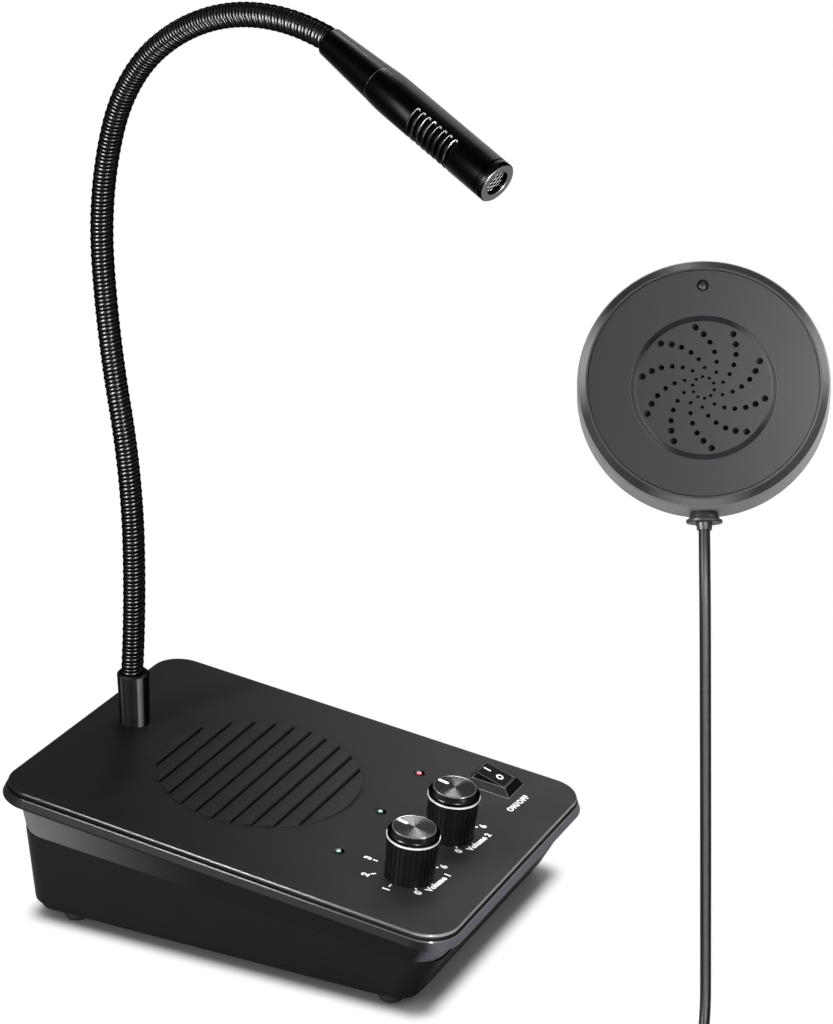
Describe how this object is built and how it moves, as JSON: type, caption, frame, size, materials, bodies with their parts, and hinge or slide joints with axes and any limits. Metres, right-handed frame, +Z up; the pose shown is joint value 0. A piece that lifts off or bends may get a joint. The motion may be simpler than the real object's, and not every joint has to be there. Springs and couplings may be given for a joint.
{
  "type": "teller window intercom",
  "caption": "Counter intercom for a teller window: sloping control base with speaker grille, volume knobs and rocker switch, gooseneck microphone, and corded outer disc unit.",
  "frame": {"origin": "on the counter, under the middle of the control panel", "axes": "+X to the user's right, -Y towards the user (low control end), +Y towards the gooseneck, +Z up"},
  "size_m": [0.1877, 0.2796, 0.3198],
  "materials": {
    "panel_plastic": "satin, fine moulded grain",
    "case_plastic": "satin, fine moulded grain",
    "knob_plastic": "satin",
    "knob_ring": "bright",
    "switch_plastic": "semi gloss",
    "neck_metal": "gloss black",
    "mic_paint": "satin black",
    "mic_ring": "satin grey",
    "steel_mesh": "bright",
    "rubber": "matt",
    "steel": "plain",
    "magnet": "matt",
    "cloth": "woven",
    "foam": "matt",
    "paper": "matt",
    "board": "lacquered",
    "component": "matt",
    "red_lens": "clear",
    "green_lens": "clear",
    "disc_plastic": "satin",
    "cord": "matt",
    "plug_metal": "bright"
  },
  "bodies": {
    "counter_unit": {"top_cover": "panel_plastic", "bottom_case": "case_plastic", "rubber_feet": "rubber", "case_screws": "steel", "grille_cloth": "cloth", "speaker_gasket": "foam", "speaker_frame": "steel", "speaker_cone": "paper", "speaker_magnet": "magnet", "speaker_screws": "steel", "circuit_board": "board", "board_screws": "steel", "amplifier_chip": "component", "capacitors": "component", "led_red": "red_lens", "leds_green": "green_lens", "control_nuts": "steel", "left_control": "component", "right_control": "component", "switch_body": "switch_plastic", "switch_terminals": "steel", "socket_board": "board", "power_socket": "component", "unit_socket": "component", "neck_ferrule": "neck_metal", "neck_nut": "steel", "neck_section_1": "neck_metal", "outer_housing": "disc_plastic", "outer_face": "disc_plastic", "outer_back": "disc_plastic", "outer_pad": "foam", "outer_screws": "steel", "outer_speaker": "steel", "outer_cone": "paper", "outer_mic": "component", "outer_board": "board", "outer_gland": "rubber", "outer_cord": "cord", "outer_cord_coil": "cord", "plug_body": "cord", "plug_pin": "plug_metal"},
    "left_volume": {"left_shaft": "steel", "left_knob": "knob_plastic", "left_knob_ring": "knob_ring", "left_knob_cap": "knob_plastic"},
    "right_volume": {"right_shaft": "steel", "right_knob": "knob_plastic", "right_knob_ring": "knob_ring", "right_knob_cap": "knob_plastic"},
    "power_rocker": {"switch_paddle": "switch_plastic"},
    "neck_2": {"neck_section_2": "neck_metal"},
    "neck_3": {"neck_section_3": "neck_metal"},
    "neck_4": {"neck_section_4": "neck_metal"},
    "neck_5": {"neck_section_5": "neck_metal"},
    "microphone": {"mic_tail": "mic_paint", "mic_barrel": "mic_paint", "mic_end_ring": "mic_ring", "mic_mesh": "steel_mesh", "mic_capsule": "component"}
  },
  "joints": [
    {"name": "left_volume_turn", "type": "hinge", "parent": "counter_unit", "child": "left_volume", "pos_m": [-0.0292, -0.0585, 0.04061], "axis": [0, -0.109, 0.994], "range_deg": [-130, 140]},
    {"name": "right_volume_turn", "type": "hinge", "parent": "counter_unit", "child": "right_volume", "pos_m": [0.0022, -0.0584, 0.04062], "axis": [0, -0.109, 0.994], "range_deg": [-130, 140]},
    {"name": "power_rocker_tilt", "type": "hinge", "parent": "counter_unit", "child": "power_rocker", "pos_m": [0.0423, -0.05595, 0.03753], "axis": [1, 0, 0], "range_deg": [-24, 0]},
    {"name": "neck_bend_low", "type": "hinge", "parent": "counter_unit", "child": "neck_2", "pos_m": [0.00572, 0.06599, 0.11866], "axis": [0.9573, -0.289, 0], "range_deg": [-20, 20]},
    {"name": "neck_sway", "type": "hinge", "parent": "neck_2", "child": "neck_3", "pos_m": [0.00695, 0.07007, 0.16839], "axis": [-0.289, -0.9573, 0], "range_deg": [-20, 20]},
    {"name": "neck_bend_middle", "type": "hinge", "parent": "neck_3", "child": "neck_4", "pos_m": [0.0086, 0.07552, 0.21802], "axis": [0.9573, -0.289, 0], "range_deg": [-20, 20]},
    {"name": "neck_bend_high", "type": "hinge", "parent": "neck_4", "child": "neck_5", "pos_m": [0.0063, 0.06792, 0.26704], "axis": [0.9573, -0.289, 0], "range_deg": [-25, 25]},
    {"name": "microphone_tilt", "type": "hinge", "parent": "neck_5", "child": "microphone", "pos_m": [-0.02219, -0.02647, 0.31317], "axis": [0.9573, -0.289, 0], "range_deg": [-25, 10]}
  ]
}
